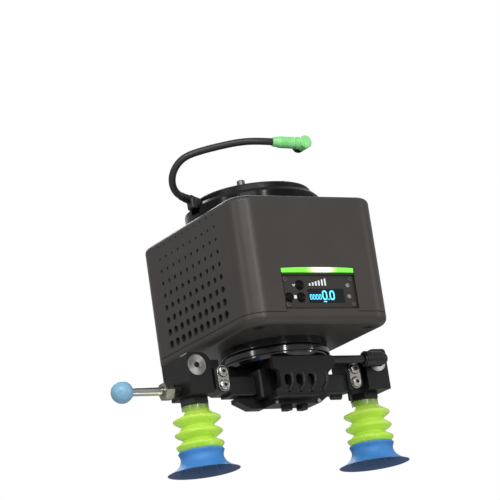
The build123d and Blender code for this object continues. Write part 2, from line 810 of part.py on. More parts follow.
def make_yoke():
    """The left yoke: a fork over the arm's neck with the cup's seat below."""
    x = (-yoke_x[1], -yoke_x[0])
    with BuildPart() as left_yoke:
        add_box(x, (yoke_y[0], -8.9), yoke_z)
        inner_top = left_yoke.edges().filter_by(Axis.Y).group_by(Axis.Z)[-1].sort_by(Axis.X)
        fillet(inner_top[-1], 8.5)
        outer_top = left_yoke.edges().filter_by(Axis.Y).group_by(Axis.Z)[-1].sort_by(Axis.X)
        fillet(outer_top[0], 2.5)
        add_box(x, (8.9, yoke_y[1]), (-137, -121))
        add_box((x[0], x[0] + 1.8), (-9, 9), (-139.6, -121))
        add_box(x, (-9, 10.5), (yoke_z[0], -139.5))
        add_box(x, (8.9, 10.5), (-139.6, -136.9))
        rod_y(-pivot_x, pivot_z, (-30, 30), pin_r + fit, mode=Mode.SUBTRACT)
        rod_y(-pivot_x, pivot_z, (-30, -16.2), disc_r + gap, mode=Mode.SUBTRACT)
        rod_y(-pivot_x, pivot_z, (15.9, 30), disc_r + gap, mode=Mode.SUBTRACT)
        rod_z(-cup_x, 0, (-151, -138), 4.5, mode=Mode.SUBTRACT)
        with BuildPart(mode=Mode.PRIVATE) as plain:
            add(left_yoke.part)
        rod_x(0, lever_z, (-90, x[0]), 4.6)
        rod_x(0, lever_z, (-91, x[0] + 5), lever_r + press, mode=Mode.SUBTRACT)
    save(left_yoke, "left_yoke")
    with BuildPart() as right_yoke:
        add(plain.part.mirror(Plane.YZ))
    save(right_yoke, "right_yoke")


def make_lever():
    with BuildPart() as lever_rod:
        rod_x(0, lever_z, (-124.5, -79.5), lever_r)
    save(lever_rod, "lever_rod")
    with BuildPart() as lever_nut:
        with BuildSketch(Plane.YZ.offset(-97)):
            with Locations((0, lever_z)):
                RegularPolygon(6.9, 6)
                Circle(lever_r + press, mode=Mode.SUBTRACT)
        extrude(amount=7)
        chamfer(lever_nut.edges().group_by(Axis.X)[0], 0.6)
    save(lever_nut, "lever_nut")
    with BuildPart() as lever_ball:
        with Locations((ball_x, 0, lever_z)):
            Sphere(ball_r)
        rod_x(0, lever_z, (-124.5, -115), lever_r + press, mode=Mode.SUBTRACT)
    save(lever_ball, "lever_ball")


def make_hose():
    with BuildPart() as vacuum_hose:
        rod_x(hose_y, hose_z, (14, 60), hose_r)
        rod_x(hose_y, hose_z, (13, 61), hose_r - 1.1, mode=Mode.SUBTRACT)
    save(vacuum_hose, "vacuum_hose")
    with BuildPart() as hose_elbow:
        rod_x(hose_y, hose_z, (62, 75), 5.65)
        chamfer(hose_elbow.edges().group_by(Axis.X)[-1], 0.8)
        with Locations(Location((59.2, hose_y, hose_z), (0, 90, 0))):
            Cone(4.6, 5.6, 2.8, align=(Align.CENTER, Align.CENTER, Align.MIN))
        rod_x(hose_y, hose_z, (75, 79.8), 4.4)
        fillet(hose_elbow.edges().group_by(Axis.X)[-1], 3.4)
        rod_y(pivot_x - 2.4, pivot_z, (hose_y - 0.7, -17.9), 3.4)
        rod_x(hose_y, hose_z, (58, 60), hose_r + press, mode=Mode.SUBTRACT)
        rod_x(hose_y, hose_z, (59, 72), 1.8, mode=Mode.SUBTRACT)
    save(hose_elbow, "hose_elbow")


# -------------------------------------------------------------- suction cups
def make_cup_fitting(side, node):
    with BuildPart() as cup_fitting:
        with BuildSketch(Plane.XY.offset(bellows_top_z)):
            with Locations((side * cup_x, 0)):
                RegularPolygon(11.3, 6)
        extrude(amount=yoke_z[0] - bellows_top_z)
        chamfer(cup_fitting.edges().group_by(Axis.Z)[0], 0.8)
        rod_z(side * cup_x, 0, (-162, bellows_top_z), 6.9)
        rod_z(side * cup_x, 0, (yoke_z[0], -144), 4.4)
        rod_z(side * cup_x, 0, (-163, -143), 2.6, mode=Mode.SUBTRACT)
    save(cup_fitting, node)


def bellows_profile(shift):
    """Heights and radii down one wall of the bellows, moved out by shift."""
    rows = [
        (9.7, bellows_top_z),
        (9.7, -159.0),
        (fold_r - 0.6, -163.6),
        (fold_r, -164.8),
        (fold_r - 0.6, -166.0),
        (valley_r, -169.6),
        (fold_r - 0.6, -173.2),
        (fold_r, -174.4),
        (fold_r - 0.6, -175.6),
        (valley_r, -179.0),
        (fold_r - 0.6, -182.0),
        (fold_r, -183.2),
        (fold_r - 0.6, -184.4),
        (14.6, bellows_bottom_z),
    ]
    return [(r + shift, z) for r, z in rows]


def make_bellows(side, node):
    outer = bellows_profile(0.0)
    inner = bellows_profile(-cup_wall - 1.0)
    with BuildPart() as bellows:
        add(turned(outer + inner[::-1], side * cup_x, 0))
    save(bellows, node)


def make_lip(side, node):
    profile = [
        (6.0, bellows_bottom_z - 2.8),
        (6.0, bellows_bottom_z),
        (15.4, bellows_bottom_z),
        (16.2, bellows_bottom_z - 0.8),
        (16.2, bellows_bottom_z - 3.0),
        (17.6, bellows_bottom_z - 4.6),
        (20.4, bellows_bottom_z - 9.0),
        (lip_r - 0.3, lip_bottom_z + 0.8),
        (lip_r, lip_bottom_z),
        (lip_r - 1.0, lip_bottom_z),
        (22.6, lip_bottom_z + 2.3),
        (18.2, bellows_bottom_z - 8.8),
        (14.5, bellows_bottom_z - 5.0),
        (12.0, bellows_bottom_z - 2.8),
    ]
    with BuildPart() as lip:
        add(turned(profile, side * cup_x, 0))
    save(lip, node)


# ---------------------------------------------------------------------- build
make_robot_adapter()
make_lock_ring()
make_robot_bolts()
make_cable()
make_cable_gland()
make_cable_connector()
make_upper_cover()
make_lower_cover()
make_cover_screws()
make_vent_screens()
make_led_bar()
make_control_panel()
make_panel_screws()
make_display_glass()
make_indicator_lenses()
make_keys()
make_chassis()
make_motor_housing()
make_motor_stator()
make_motor_rotor()
make_drive_shaft()
make_shaft_bearings()
make_pump_housing()
make_pump_cover()
make_pump_rotor()
make_pump_vanes()
make_cooling_fan()
make_control_board()
make_valve_block()
make_release_valve()
make_swivel_base()
make_swivel_collar()
make_swivel_stem()
make_gripper_body()
make_front_clip()
make_body_screws()
make_port_plugs()
make_arms()
make_lock_plates()
make_lock_screws()
make_pivot_pins()
make_yoke()
make_lever()
make_hose()
for side, prefix in ((-1, "left"), (1, "right")):
    make_cup_fitting(side, f"{prefix}_cup_fitting")
    make_bellows(side, f"{prefix}_bellows")
    make_lip(side, f"{prefix}_lip")
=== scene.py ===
import json
import math

import bmesh
import bpy
from mathutils import Euler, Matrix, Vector


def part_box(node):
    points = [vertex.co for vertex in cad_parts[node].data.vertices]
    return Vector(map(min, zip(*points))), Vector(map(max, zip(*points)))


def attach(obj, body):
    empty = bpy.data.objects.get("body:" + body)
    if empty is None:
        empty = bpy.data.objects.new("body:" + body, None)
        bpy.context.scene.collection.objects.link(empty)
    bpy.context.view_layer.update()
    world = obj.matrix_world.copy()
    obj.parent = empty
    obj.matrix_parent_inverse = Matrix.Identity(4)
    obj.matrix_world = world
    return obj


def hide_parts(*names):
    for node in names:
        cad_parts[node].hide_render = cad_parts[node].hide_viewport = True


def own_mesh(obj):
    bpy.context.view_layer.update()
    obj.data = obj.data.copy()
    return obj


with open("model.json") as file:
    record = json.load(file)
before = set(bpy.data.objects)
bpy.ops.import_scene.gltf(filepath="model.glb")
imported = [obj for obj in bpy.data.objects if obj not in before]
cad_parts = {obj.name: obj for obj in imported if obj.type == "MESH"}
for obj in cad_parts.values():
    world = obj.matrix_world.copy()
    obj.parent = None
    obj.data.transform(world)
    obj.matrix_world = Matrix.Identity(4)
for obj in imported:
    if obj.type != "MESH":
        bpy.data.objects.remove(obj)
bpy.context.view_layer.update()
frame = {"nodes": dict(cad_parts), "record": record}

# Robot vacuum gripper: the looks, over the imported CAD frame. The part's frame is in metres. Sizes
# and outlines below are in millimetres, and mm() turns them into metres. The camera, the lights,
# the cable's route and the reliefs of the materials are in metres already.

scene = bpy.context.scene
UP = Vector((0, 0, 1))
BACK = Vector((0, 1, 0))
RIGHT = Vector((1, 0, 0))
SIDES = ((-1, "left"), (1, "right"))


def mm(*values):
    """Millimetres to metres: one number, or a vector from three."""
    scaled = [value * 0.001 for value in values]
    return scaled[0] if len(scaled) == 1 else Vector(scaled)


def in_mm(value):
    """Metres to millimetres."""
    return value * 1000


# ------------------------------------------------------------------ camera
CAMERA_PLACE = (-0.9666, -1.5131, -0.5004)
CAMERA_TURN = (104.59, 8.25, -30.24)
CAMERA_LENS = 182.3


def add_camera():
    """The camera that looks at the part as the photo does."""
    camera = bpy.data.cameras.new("camera")
    camera.lens = CAMERA_LENS
    camera.sensor_width = 36
    holder = bpy.data.objects.new("camera", camera)
    holder.location = CAMERA_PLACE
    holder.rotation_euler = Euler([math.radians(angle) for angle in CAMERA_TURN])
    scene.collection.objects.link(holder)
    scene.camera = holder


# --------------------------------------------------------------- materials
# The pivot pins' axes, and the middle of the status light
PIN_X = 76.3
PIN_Z = -129.0
LIGHT_MIDDLE = 2.5


def new_shader(name, **constants):
    """A material with one Principled shader, whose constants sit on its own sockets."""
    material = bpy.data.materials.new(name)
    material.use_nodes = True
    tree = material.node_tree
    shader = tree.nodes["Principled BSDF"]
    for socket, value in constants.items():
        shader.inputs[socket.replace("_", " ")].default_value = value
    return material, tree, shader


def coordinates(tree, stretch=(1, 1, 1)):
    """The piece's own coordinates, in metres, stretched along its axes."""
    source = tree.nodes.new("ShaderNodeTexCoord")
    mapping = tree.nodes.new("ShaderNodeMapping")
    mapping.inputs["Scale"].default_value = stretch
    tree.links.new(source.outputs["Object"], mapping.inputs["Vector"])
    return mapping.outputs["Vector"]


def noise(tree, vector, scale, detail=4.0, roughness=0.55):
    """Cloudy values round a half."""
    node = tree.nodes.new("ShaderNodeTexNoise")
    node.inputs["Scale"].default_value = scale
    node.inputs["Detail"].default_value = detail
    node.inputs["Roughness"].default_value = roughness
    tree.links.new(vector, node.inputs["Vector"])
    return node.outputs["Fac"]


def ramp(tree, value, *stops):
    """A colour ramp with (place, colour) stops."""
    node = tree.nodes.new("ShaderNodeValToRGB")
    elements = node.color_ramp.elements
    while len(elements) < len(stops):
        elements.new(0.5)
    for element, (place, colour) in zip(elements, stops):
        element.position = place
        element.color = (*colour, 1)
    tree.links.new(value, node.inputs["Fac"])
    return node.outputs["Color"]


def graded(tree, value, low, high, start=0.3, end=0.7):
    """A value mapped from start..end to low..high."""
    node = tree.nodes.new("ShaderNodeMapRange")
    for socket, number in (("From Min", start), ("From Max", end), ("To Min", low), ("To Max", high)):
        node.inputs[socket].default_value = number
    tree.links.new(value, node.inputs["Value"])
    return node.outputs["Result"]


def bumped(tree, shader, height, strength, distance, edge=0.0):
    """Surface relief, over edges that are broken by a small radius."""
    node = tree.nodes.new("ShaderNodeBump")
    node.inputs["Strength"].default_value = strength
    node.inputs["Distance"].default_value = distance
    tree.links.new(height, node.inputs["Height"])
    if edge:
        broken = tree.nodes.new("ShaderNodeBevel")
        broken.samples = 4
        broken.inputs["Radius"].default_value = edge
        tree.links.new(broken.outputs["Normal"], node.inputs["Normal"])
    tree.links.new(node.outputs["Normal"], shader.inputs["Normal"])


def tones(colour, spread):
    """A darker and a lighter tone round a colour."""
    return [tuple(min(1.0, channel * factor) for channel in colour) for factor in (1 - spread, 1 + spread)]


def coated(name, colour, rough, grain, relief, spread=0.18, edge=0.00025, stretch=(1, 1, 1), **constants):
    """Plastic, paint, rubber or metal: cloudy tone, uneven gloss and a fine grain."""
    material, tree, shader = new_shader(name, **constants)
    vector = coordinates(tree, stretch)
    cloud = noise(tree, coordinates(tree), 38.0, 5.0)
    fine = noise(tree, vector, grain)
    dark, light = tones(colour, spread)
    tint = ramp(tree, cloud, (0.32, dark), (0.68, light))
    tree.links.new(tint, shader.inputs["Base Color"])
    tree.links.new(graded(tree, fine, rough[0], rough[1]), shader.inputs["Roughness"])
    bumped(tree, shader, fine, relief, 0.00012, edge)
    return material


def brushed(name, colour, rough, stretch, spread=0.10, relief=0.25):
    """Drawn, turned or ground metal, with its marks running one way."""
    material, tree, shader = new_shader(name, Metallic=1.0)
    marks = noise(tree, coordinates(tree, stretch), 160.0, 6.0, 0.7)
    cloud = noise(tree, coordinates(tree), 60.0)
    dark, light = tones(colour, spread)
    tree.links.new(ramp(tree, marks, (0.3, dark), (0.7, light)), shader.inputs["Base Color"])
    tree.links.new(graded(tree, cloud, rough[0], rough[1]), shader.inputs["Roughness"])
    bumped(tree, shader, marks, relief, 0.00005, 0.0002)
    return material


def along(tree, axis):
    """One of the piece's own coordinates, in metres."""
    split = tree.nodes.new("ShaderNodeSeparateXYZ")
    tree.links.new(coordinates(tree), split.inputs["Vector"])
    return split.outputs[axis]


def calculated(tree, operation, *values):
    """A calculation on values that are numbers or come from other nodes."""
    node = tree.nodes.new("ShaderNodeMath")
    node.operation = operation
    for socket, value in zip(node.inputs, values):
        if isinstance(value, bpy.types.NodeSocket):
            tree.links.new(value, socket)
        else:
            socket.default_value = value
    return node.outputs["Value"]


def bands(tree, axis, scale, distortion=0.0):
    """Soft stripes that follow each other along one of the piece's own axes."""
    node = tree.nodes.new("ShaderNodeTexWave")
    node.bands_direction = axis
    node.inputs["Scale"].default_value = scale
    node.inputs["Distortion"].default_value = distortion
    tree.links.new(coordinates(tree), node.inputs["Vector"])
    return node.outputs["Fac"]


def lit_bar(name):
    """The status light: green, with a white middle."""
    material, tree, shader = new_shader(name, Roughness=0.35, Emission_Strength=1.05)
    shifted = calculated(tree, "SUBTRACT", along(tree, "X"), mm(LIGHT_MIDDLE))
    distance = graded(tree, calculated(tree, "ABSOLUTE", shifted), 0.0, 1.0, 0.0, 0.03)
    green = (0.13, 0.88, 0.04)
    pale = (0.36, 0.95, 0.18)
    white = (0.90, 1.0, 0.78)
    light = ramp(tree, distance, (0.0, white), (0.16, white), (0.32, pale), (0.46, green), (1.0, green))
    haze = noise(tree, coordinates(tree), 700.0)
    tree.links.new(light, shader.inputs["Emission Color"])
    tree.links.new(light, shader.inputs["Base Color"])
    bumped(tree, shader, haze, 0.15, 0.00005)
    return material


def bellows_rubber(name):
    """Clear yellow-green polyurethane, darker on the collar that grips the fitting, with a faint painted
    glow over its whole skin.
    """
    material, tree, shader = new_shader(
        name,
        Subsurface_Weight=0.6,
        Subsurface_Scale=0.004,
        Subsurface_Radius=(0.9, 1.0, 0.45),
        Transmission_Weight=0.35,
        Emission_Strength=0.12,
        IOR=1.45,
        Coat_Weight=0.45,
        Coat_Roughness=0.15,
    )
    height = graded(tree, along(tree, "Z"), 0.0, 1.0, -0.187, -0.155)
    tint = ramp(
        tree,
        height,
        (0.0, (0.56, 0.84, 0.09)),
        (0.82, (0.62, 0.88, 0.12)),
        (0.90, (0.33, 0.50, 0.09)),
        (1.0, (0.21, 0.36, 0.08)),
    )
    haze = noise(tree, coordinates(tree), 260.0, 2.0)
    tree.links.new(tint, shader.inputs["Base Color"])
    # painted glow: the skin gives off its own tint at a low strength, though it is no lamp
    tree.links.new(tint, shader.inputs["Emission Color"])
    tree.links.new(graded(tree, haze, 0.18, 0.28), shader.inputs["Roughness"])
    bumped(tree, shader, bands(tree, "Z", 190.0, 0.4), 0.5, 0.00012)
    return material


def lip_rubber(name):
    """Soft blue silicone, with painted shade where it faces down, inside the cup."""
    material, tree, shader = new_shader(name, Subsurface_Weight=0.12, Subsurface_Scale=0.002)
    cloud = noise(tree, coordinates(tree), 90.0)
    fine = noise(tree, coordinates(tree), 2600.0)
    source = tree.nodes.new("ShaderNodeTexCoord")
    facing = tree.nodes.new("ShaderNodeSeparateXYZ")
    tree.links.new(source.outputs["Normal"], facing.inputs["Vector"])
    blue = ramp(tree, cloud, (0.3, (0.045, 0.22, 0.56)), (0.7, (0.06, 0.27, 0.66)))
    # painted shade: faces that point down, inside the cup, are darkened to about a quarter of the blue
    painted_shade_mask = graded(tree, facing.outputs["Z"], 0.0, 1.0, -0.58, -0.46)
    shade = ramp(tree, painted_shade_mask, (0.0, (0.25, 0.26, 0.28)), (1.0, (1, 1, 1)))
    tint = tree.nodes.new("ShaderNodeMix")
    tint.data_type = "RGBA"
    tint.blend_type = "MULTIPLY"
    tint.inputs["Factor"].default_value = 1.0
    tree.links.new(blue, tint.inputs["A"])
    tree.links.new(shade, tint.inputs["B"])
    tree.links.new(tint.outputs["Result"], shader.inputs["Base Color"])
    tree.links.new(graded(tree, fine, 0.42, 0.60), shader.inputs["Roughness"])
    bumped(tree, shader, fine, 0.10, 0.00005)
    return material


def screen_mesh(name):
    """Fine dark mesh behind the vents: two sets of wires."""
    material, tree, shader = new_shader(name, Roughness=0.6, Specular_IOR_Level=0.25)
    wires = calculated(tree, "MAXIMUM", bands(tree, "Y", 420.0), bands(tree, "Z", 420.0))
    tint = ramp(tree, wires, (0.45, (0.012, 0.011, 0.010)), (0.8, (0.045, 0.042, 0.039)))
    tree.links.new(tint, shader.inputs["Base Color"])
    bumped(tree, shader, wires, 0.5, 0.0003)
    return material


def display_glass(name):
    """Smoked glass over the dim rows of a display."""
    material, tree, shader = new_shader(name, Roughness=0.22, Specular_IOR_Level=0.25)
    rows = bands(tree, "Z", 900.0)
    tint = ramp(tree, rows, (0.2, (0.006, 0.010, 0.011)), (0.9, (0.014, 0.020, 0.021)))
    tree.links.new(tint, shader.inputs["Base Color"])
    return material


def glow(name, colour, strength):
    """The display's lit digits, a little uneven."""
    material, tree, shader = new_shader(name, Roughness=0.4, Emission_Strength=strength)
    dots = noise(tree, coordinates(tree), 900.0)
    dark, light = tones(colour, 0.12)
    tint = ramp(tree, dots, (0.3, dark), (0.7, light))
    tree.links.new(tint, shader.inputs["Emission Color"])
    tree.links.new(tint, shader.inputs["Base Color"])
    return material


def disc_steel(name):
    """A faced steel disc, with a painted highlight: soft bright and dull sectors round its middle, where
    its turning marks would catch the light.
    """
    material, tree, shader = new_shader(name, Metallic=1.0)
    offsets = []
    for axis, place in (("X", PIN_X), ("Z", PIN_Z)):
        size = calculated(tree, "ABSOLUTE", along(tree, axis))
        offsets.append(calculated(tree, "SUBTRACT", size, mm(abs(place))))
    angle = calculated(tree, "ARCTAN2", *offsets)
    # painted highlight: two bright and two dull sectors round the pin's axis, fixed in the colour
    painted_sheen_sectors = calculated(tree, "SINE", calculated(tree, "MULTIPLY_ADD", angle, 2.0, 0.6))
    tint = ramp(
        tree,
        graded(tree, painted_sheen_sectors, 0.0, 1.0, -1.0, 1.0),
        (0.1, (0.36, 0.34, 0.31)),
        (0.6, (0.58, 0.56, 0.52)),
        (0.95, (0.92, 0.91, 0.88)),
    )
    fine = noise(tree, coordinates(tree), 1800.0)
    tree.links.new(tint, shader.inputs["Base Color"])
    tree.links.new(graded(tree, fine, 0.26, 0.38), shader.inputs["Roughness"])
    bumped(tree, shader, fine, 0.06, 0.00005, 0.0002)
    return material


def build_finishes():
    """One finish for each material slot of the record, and a few more for small pieces."""
    return {
        "black_metal": coated(
            "black_metal", (0.007, 0.007, 0.008), (0.28, 0.42), 1800, 0.06,
            Metallic=0.3, Specular_IOR_Level=0.3,
        ),
        "ring_black": coated(
            "ring_black", (0.004, 0.004, 0.004), (0.14, 0.22), 900, 0.03, Specular_IOR_Level=0.20
        ),
        "cover_grey": coated(
            "cover_grey", (0.050, 0.044, 0.039), (0.32, 0.42), 2600, 0.08, spread=0.05,
            Specular_IOR_Level=0.32,
        ),
        "screen_grey": screen_mesh("screen_grey"),
        "bolt_steel": brushed("bolt_steel", (0.17, 0.165, 0.155), (0.30, 0.45), (1, 3, 1)),
        "dark_screw": coated("dark_screw", (0.030, 0.030, 0.032), (0.30, 0.45), 1500, 0.08, Metallic=0.8),
        "cable_black": coated("cable_black", (0.020, 0.020, 0.022), (0.36, 0.52), 1400, 0.08, edge=0.0),
        "connector_green": coated(
            "connector_green", (0.25, 0.72, 0.25), (0.28, 0.42), 1300, 0.05, spread=0.10, edge=0.0002
        ),
        "led_green": lit_bar("led_green"),
        "panel_black": coated(
            "panel_black", (0.030, 0.0265, 0.024), (0.42, 0.56), 2400, 0.08, spread=0.06,
            Specular_IOR_Level=0.35,
        ),
        "key_black": coated(
            "key_black", (0.003, 0.003, 0.003), (0.28, 0.38), 2000, 0.05, edge=0.0, Specular_IOR_Level=0.15
        ),
        "lens_grey": coated("lens_grey", (0.22, 0.215, 0.20), (0.25, 0.40), 1200, 0.05, spread=0.08),
        "display": display_glass("display"),
        "cast_frame": coated("cast_frame", (0.42, 0.43, 0.44), (0.38, 0.60), 700, 0.30, Metallic=0.9),
        "motor_metal": coated("motor_metal", (0.030, 0.033, 0.040), (0.35, 0.50), 1100, 0.12),
        "iron": coated(
            "iron", (0.12, 0.11, 0.11), (0.40, 0.65), 500, 0.35, Metallic=0.8, stretch=(1, 8, 1)
        ),
        "shaft_steel": brushed("shaft_steel", (0.60, 0.60, 0.60), (0.18, 0.32), (1, 1, 5)),
        "graphite": coated("graphite", (0.025, 0.025, 0.027), (0.45, 0.62), 1600, 0.15),
        "fan_plastic": coated("fan_plastic", (0.012, 0.012, 0.013), (0.40, 0.52), 1500, 0.08),
        "board_green": coated("board_green", (0.010, 0.095, 0.040), (0.25, 0.40), 600, 0.10),
        "collar_black": coated(
            "collar_black", (0.008, 0.008, 0.009), (0.10, 0.20), 800, 0.02,
            Coat_Weight=0.6, Coat_Roughness=0.08,
        ),
        "grip_black": coated(
            "grip_black", (0.0080, 0.0080, 0.0078), (0.34, 0.46), 2100, 0.10, Specular_IOR_Level=0.34
        ),
        "grip_aluminium": coated(
            "grip_aluminium", (0.012, 0.012, 0.013), (0.28, 0.40), 1500, 0.08, Metallic=0.2,
            stretch=(0.2, 1, 1),
        ),
        "fitting_black": coated("fitting_black", (0.010, 0.010, 0.011), (0.30, 0.44), 1600, 0.08),
        "bright_steel": brushed("bright_steel", (0.62, 0.60, 0.56), (0.20, 0.34), (1, 1, 6), relief=0.10),
        "disc_steel": disc_steel("disc_steel"),
        "nut_steel": brushed("nut_steel", (0.34, 0.32, 0.28), (0.28, 0.42), (4, 1, 1), relief=0.12),
        "bellows_green": bellows_rubber("bellows_green"),
        "lip_blue": lip_rubber("lip_blue"),
        "ball_blue": coated(
            "ball_blue", (0.22, 0.45, 0.63), (0.22, 0.34), 700, 0.03, spread=0.06, edge=0.0
        ),
        "readout": glow("readout", (0.10, 0.62, 0.88), 1.15),
        "print_white": coated(
            "print_white", (0.80, 0.80, 0.78), (0.45, 0.60), 1500, 0.05, spread=0.04, edge=0.0
        ),
    }


# -------------------------------------------------------------- mesh helpers
def add_piece(name, shape, body, slot, finish=None, smooth=38.0):
    """Turns a finished bmesh into a piece that rides on a body."""
    bmesh.ops.recalc_face_normals(shape, faces=shape.faces)
    mesh = bpy.data.meshes.new(name)
    shape.to_mesh(mesh)
    shape.free()
    mesh.shade_smooth()
    mesh.set_sharp_from_angle(angle=math.radians(smooth))
    mesh.materials.append(finishes[finish or slot])
    piece = bpy.data.objects.new(name, mesh)
    scene.collection.objects.link(piece)
    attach(piece, body)
    return piece


def smoothed(points, times=2):
    """Corners cut off a line of points, with its two ends kept."""
    for _ in range(times):
        cut = [points[0]]
        for a, b in zip(points, points[1:]):
            for share in (0.25, 0.75):
                cut.append(tuple(p + (q - p) * share for p, q in zip(a, b)))
        points = cut + [points[-1]]
    return points


def join_rings(shape, rings, closed):
    """Faces between neighbouring rings, each a list of points or a single pole."""
    following = rings[1:] + ([rings[0]] if closed else [])
    count = max(len(ring) for ring in rings)
    for a, b in zip(rings, following):
        for i in range(count):
            j = (i + 1) % count
            corners = [a[i % len(a)], a[j % len(a)], b[j % len(b)], b[i % len(b)]]
            shape.faces.new(list(dict.fromkeys(corners)))


def turned(shape, profile, base, axis=UP, segments=72, closed=True, outline=None):
    """Turns (radius, height) points, in millimetres, about an axis through base.
    outline(angle) scales the radius round the turn, for flats and knurls."""
    turn = axis.to_track_quat("Z", "Y").to_matrix()
    rings = []
    for radius, height in profile:
        if radius < 0.001:
            rings.append([shape.verts.new(base + turn @ mm(0, 0, height))])
            continue
        ring = []
        for i in range(segments):
            angle = 2 * math.pi * i / segments
            reach = radius * (outline(angle) if outline else 1.0)
            spot = mm(reach * math.cos(angle), reach * math.sin(angle), height)
            ring.append(shape.verts.new(base + turn @ spot))
        rings.append(ring)
    join_rings(shape, rings, closed)


def sleeve(shape, line, radii, bore, segments=28):
    """A tube along a line of points, with a radius for each point and an even bore, in metres."""
    last = len(line) - 1
    directions = [(line[min(i + 1, last)] - line[max(i - 1, 0)]).normalized() for i in range(last + 1)]
    side = directions[0].orthogonal().normalized()
    outer = []
    inner = []
    for point, direction, radius in zip(line, directions, radii):
        side = (side - direction * side.dot(direction)).normalized()
        other = direction.cross(side)
        spokes = [
            side * math.cos(2 * math.pi * i / segments) + other * math.sin(2 * math.pi * i / segments)
            for i in range(segments)
        ]
        outer.append([shape.verts.new(point + spoke * radius) for spoke in spokes])
        inner.append([shape.verts.new(point + spoke * bore) for spoke in spokes])
    join_rings(shape, outer + inner[::-1], True)


def plate(shape, outline, front, back):
    """A flat plate facing the front, from (x, z) points, in millimetres."""
    near = [shape.verts.new(mm(x, front, z)) for x, z in outline]
    far = [shape.verts.new(mm(x, back, z)) for x, z in outline]
    shape.faces.new(near)
    shape.faces.new(far[::-1])
    for i in range(len(outline)):
        j = (i + 1) % len(outline)
        shape.faces.new([near[j], near[i], far[i], far[j]])


def squared(share, squareness):
    """A cosine or sine moved out towards 1, as on an oval that is squarer than an ellipse."""
    return math.copysign(abs(share) ** (2 / squareness), share)


def rounded_outline(x, z, half_x, half_z, squareness=4.0, count=32):
    """Points round an oval that is squarer the higher its squareness."""
    points = []
    for i in range(count):
        angle = 2 * math.pi * i / count
        across = half_x * squared(math.cos(angle), squareness)
        up = half_z * squared(math.sin(angle), squareness)
        points.append((x + across, z + up))
    return points


def rim(shape, outside, inside, front, back):
    """A flat ring facing the front, between two outlines with as many points."""
    rings = [
        [shape.verts.new(mm(x, y, z)) for x, z in outline]
        for outline, y in ((outside, back), (outside, front), (inside, front), (inside, back))
    ]
    join_rings(shape, rings, True)


def bar(shape, start, end, half, front, back):
    """A straight stroke of even width facing the front, between two (x, z) points."""
    run = Vector(end) - Vector(start)
    across = Vector((-run.y, run.x)).normalized() * half
    corners = [Vector(start) + across, Vector(start) - across, Vector(end) - across, Vector(end) + across]
    plate(shape, [tuple(corner) for corner in corners], front, back)


# A sleeve that looks solid still has a bore, too fine to be seen
HAIR_BORE = 0.05


# ------------------------------------------------------- cable and its ends
CABLE_DIAMETER = 0.0052
CABLE_ROUTE = [
    (-0.0530, -0.0020, -0.0022),
    (-0.0620, -0.0032, -0.0001),
    (-0.0688, -0.0070, 0.0049),
    (-0.0719, -0.0127, 0.0115),
    (-0.0706, -0.0190, 0.0181),
    (-0.0652, -0.0244, 0.0232),
    (-0.0550, -0.0291, 0.0259),
    (-0.0445, -0.0370, 0.0270),
    (-0.0330, -0.0460, 0.0275),
    (-0.0217, -0.0522, 0.0268),
    (-0.0094, -0.0542, 0.0258),
]


def add_cable():
    """The cable's jacket, from the ring's notch to the plug."""
    curve = bpy.data.curves.new("cable_jacket", "CURVE")
    curve.dimensions = "3D"
    curve.resolution_u = 16
    curve.bevel_depth = CABLE_DIAMETER / 2
    curve.bevel_resolution = 6
    curve.use_fill_caps = True
    spline = curve.splines.new("NURBS")
    spline.points.add(len(CABLE_ROUTE) - 1)
    for point, place in zip(spline.points, CABLE_ROUTE):
        point.co = (*place, 1)
    spline.order_u = 3
    spline.use_endpoint_u = True
    curve.materials.append(finishes["cable_black"])
    piece = bpy.data.objects.new("cable_jacket", curve)
    scene.collection.objects.link(piece)
    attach(piece, "housing")
    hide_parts("cable")
    return piece


def centreline(piece):
    """The points of a curve's own line, read from the curve with no bevel."""
    bare = piece.copy()
    bare.data = piece.data.copy()
    bare.data.bevel_depth = 0
    mesh = bpy.data.meshes.new_from_object(bare)
    points = [vertex.co.copy() for vertex in mesh.vertices]
    bpy.data.objects.remove(bare)
    return points


def add_strain_relief(line):
    """The gland in the ring's notch and its tapered, ringed boot."""
    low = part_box("cable_gland")[0]
    block_low = Vector((low.x, mm(-5.8), low.z))
    block_high = mm(-44.6, 1.8, -2.0)
    shape = bmesh.new()
    block = bmesh.ops.create_cube(shape, size=1)
    for vertex in block["verts"]:
        vertex.co = Vector(b if c > 0 else a for a, b, c in zip(block_low, block_high, vertex.co))
    bmesh.ops.bevel(shape, geom=shape.edges[:], offset=mm(1.2), segments=4, affect="EDGES", profile=0.5)
    start = line[0]
    out = (line[1] - line[0]).normalized()
    barrel = [(0, 0), (3.5, 0), (3.5, 5.2), (3.8, 5.6), (3.8, 7.4), (3.5, 7.9), (0, 7.9)]
    turned(shape, barrel, start - out * mm(7.0), out, 40, closed=False)
    boot = [point for point in line if (point - start).length < mm(9)]
    radii = []
    for i in range(len(boot)):
        share = i / (len(boot) - 1)
        groove = mm(0.18) if i % 4 == 2 else 0.0
        radii.append(mm(3.4) * (1 - share) + mm(2.85) * share - groove)
    sleeve(shape, boot, radii, CABLE_DIAMETER / 2)
    piece = add_piece("strain_relief", shape, "housing", "fitting_black", smooth=30)
    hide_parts("cable_gland")
    return piece


def faceted(angle):
    """Eight faint flats round the plug's head."""
    return 1.0 + 0.02 * math.cos(8 * angle)


def knurled(angle):
    """Twenty-four grooves round the plug's nut."""
    return 1.0 + 0.035 * math.cos(24 * angle)


